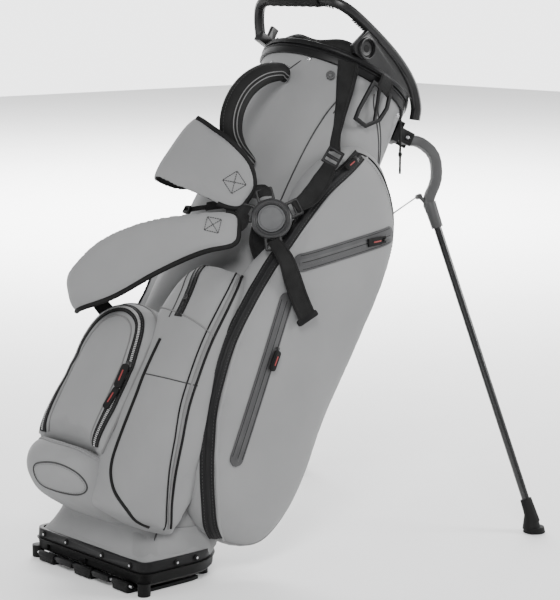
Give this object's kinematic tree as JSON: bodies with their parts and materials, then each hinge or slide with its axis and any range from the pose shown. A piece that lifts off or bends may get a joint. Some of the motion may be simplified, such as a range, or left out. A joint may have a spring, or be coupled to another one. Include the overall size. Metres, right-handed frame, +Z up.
{
  "type": "golf stand bag",
  "caption": "Leaning golf stand bag with moulded collar and boot, top and carry handles, shoulder pads on a round hub, bulging zipped pockets and fold-out splayed legs.",
  "frame": {"origin": "on the ground, on the underside of the foot plate in the bag's plane between the legs", "axes": "+Z up, +X towards the feet of the legs, +Y away from the large side pocket"},
  "size_m": [0.7213, 0.5756, 0.8135],
  "materials": {
    "grey_fabric": "smooth coated weave",
    "black_plastic": "moulded, fine grain",
    "black_webbing": "woven webbing",
    "black_padding": "padded mesh",
    "lining": "plain lining",
    "black_rubber": "matt",
    "steel": "satin",
    "dark_tube": "dark anodised",
    "zip_tape": "coated tape"
  },
  "bodies": {
    "bag": {"shell_panel_1": "grey_fabric", "shell_panel_2": "grey_fabric", "shell_panel_3": "grey_fabric", "shell_panel_4": "grey_fabric", "shell_panel_5": "grey_fabric", "shell_panel_6": "grey_fabric", "shell_panel_7": "grey_fabric", "shell_panel_8": "grey_fabric", "shell_floor": "black_plastic", "base_boot": "black_plastic", "base_rim_band": "black_plastic", "foot_hinge_pin": "steel", "hinge_lug_a": "black_plastic", "hinge_lug_b": "black_plastic", "collar_ring": "black_plastic", "collar_crest": "black_padding", "top_handle": "black_plastic", "handle_grip": "black_rubber", "club_dividers": "lining", "apparel_pocket": "grey_fabric", "far_side_pocket": "grey_fabric", "ball_pocket": "grey_fabric", "ball_pocket_gusset": "grey_fabric", "corner_pocket": "grey_fabric", "inclined_zip": "zip_tape", "lower_zip": "zip_tape", "strap_hub": "black_plastic", "hub_disc": "black_rubber", "carry_handle": "black_padding", "upper_shoulder_pad": "grey_fabric", "lower_shoulder_pad": "grey_fabric", "upper_webbing": "black_webbing", "ladder_buckle": "black_plastic", "strap_to_hub": "black_webbing", "bottom_webbing": "black_webbing", "ring_webbing": "black_webbing", "collar_stud": "steel", "hanging_lace": "black_webbing", "near_leg_bracket": "black_plastic", "far_leg_bracket": "black_plastic", "near_leg_pin": "steel", "far_leg_pin": "steel", "rod_guide": "black_plastic"},
    "near_leg": {"near_leg_arm": "black_plastic", "near_leg_tube": "dark_tube", "near_leg_foot": "black_rubber"},
    "far_leg": {"far_leg_arm": "black_plastic", "far_leg_tube": "dark_tube", "far_leg_foot": "black_rubber"},
    "near_wire": {"near_push_wire": "steel"},
    "far_wire": {"far_push_wire": "steel"},
    "push_rod_body": {"push_rod": "steel"},
    "foot_plate_body": {"foot_plate": "black_plastic"},
    "ring": {"accessory_ring": "black_plastic"},
    "inclined_slider": {"inclined_zip_slider": "steel"},
    "inclined_pull": {"inclined_zip_puller": "black_rubber"},
    "lower_slider": {"lower_zip_slider": "steel"}
  },
  "joints": [
    {"name": "near_leg_fold", "type": "hinge", "parent": "bag", "child": "near_leg", "pos_m": [0.48918, -0.078, 0.59158], "axis": [0.381, 0.8946, -0.2335], "range_deg": [0, 43.4]},
    {"name": "far_leg_fold", "type": "hinge", "parent": "bag", "child": "far_leg", "pos_m": [0.48918, 0.078, 0.59158], "axis": [0.381, -0.8946, -0.2335], "range_deg": [-43.4, 0]},
    {"name": "near_wire_turn", "type": "hinge", "parent": "near_leg", "child": "near_wire", "pos_m": [0.4997, -0.101, 0.50538], "axis": [0.381, 0.8946, -0.2335], "range_deg": [-71.06, 0]},
    {"name": "far_wire_turn", "type": "hinge", "parent": "far_leg", "child": "far_wire", "pos_m": [0.4997, 0.101, 0.50538], "axis": [0.381, -0.8946, -0.2335], "range_deg": [0, 71.06]},
    {"name": "push_rod_slide", "type": "slide", "parent": "bag", "child": "push_rod_body", "axis": [-0.5892, 0, -0.808], "range_m": [0, 0.0391]},
    {"name": "foot_plate_hinge", "type": "hinge", "parent": "bag", "child": "foot_plate_body", "pos_m": [-0.0625, 0, 0.0105], "axis": [0, 1, 0], "range_deg": [0, 31.6]},
    {"name": "ring_swing", "type": "hinge", "parent": "bag", "child": "ring", "pos_m": [0.39182, -0.1262, 0.67001], "axis": [-0.8526, 0, 0.5225], "range_deg": [0, 75]},
    {"name": "inclined_zip_slide", "type": "slide", "parent": "bag", "child": "inclined_slider", "axis": [-0.9977, 0, -0.0677], "range_m": [-0.008, 0.1]},
    {"name": "inclined_zip_flip", "type": "hinge", "parent": "inclined_slider", "child": "inclined_pull", "pos_m": [0.35685, -0.1731, 0.45945], "axis": [-0.0677, 0, 0.9977], "range_deg": [0, 150]},
    {"name": "lower_zip_slide", "type": "slide", "parent": "bag", "child": "lower_slider", "axis": [-0.3972, 0, -0.9177], "range_m": [-0.012, 0.1409]}
  ],
  "couplings": [
    {"joint": "far_leg_fold", "follows": "near_leg_fold", "ratio": -1},
    {"joint": "near_wire_turn", "follows": "near_leg_fold", "ratio": -1.6259},
    {"joint": "far_wire_turn", "follows": "near_leg_fold", "ratio": 1.6259},
    {"joint": "push_rod_slide", "follows": "near_leg_fold", "m_per_rad": 0.05096},
    {"joint": "foot_plate_hinge", "follows": "near_leg_fold", "ratio": 0.7258}
  ]
}
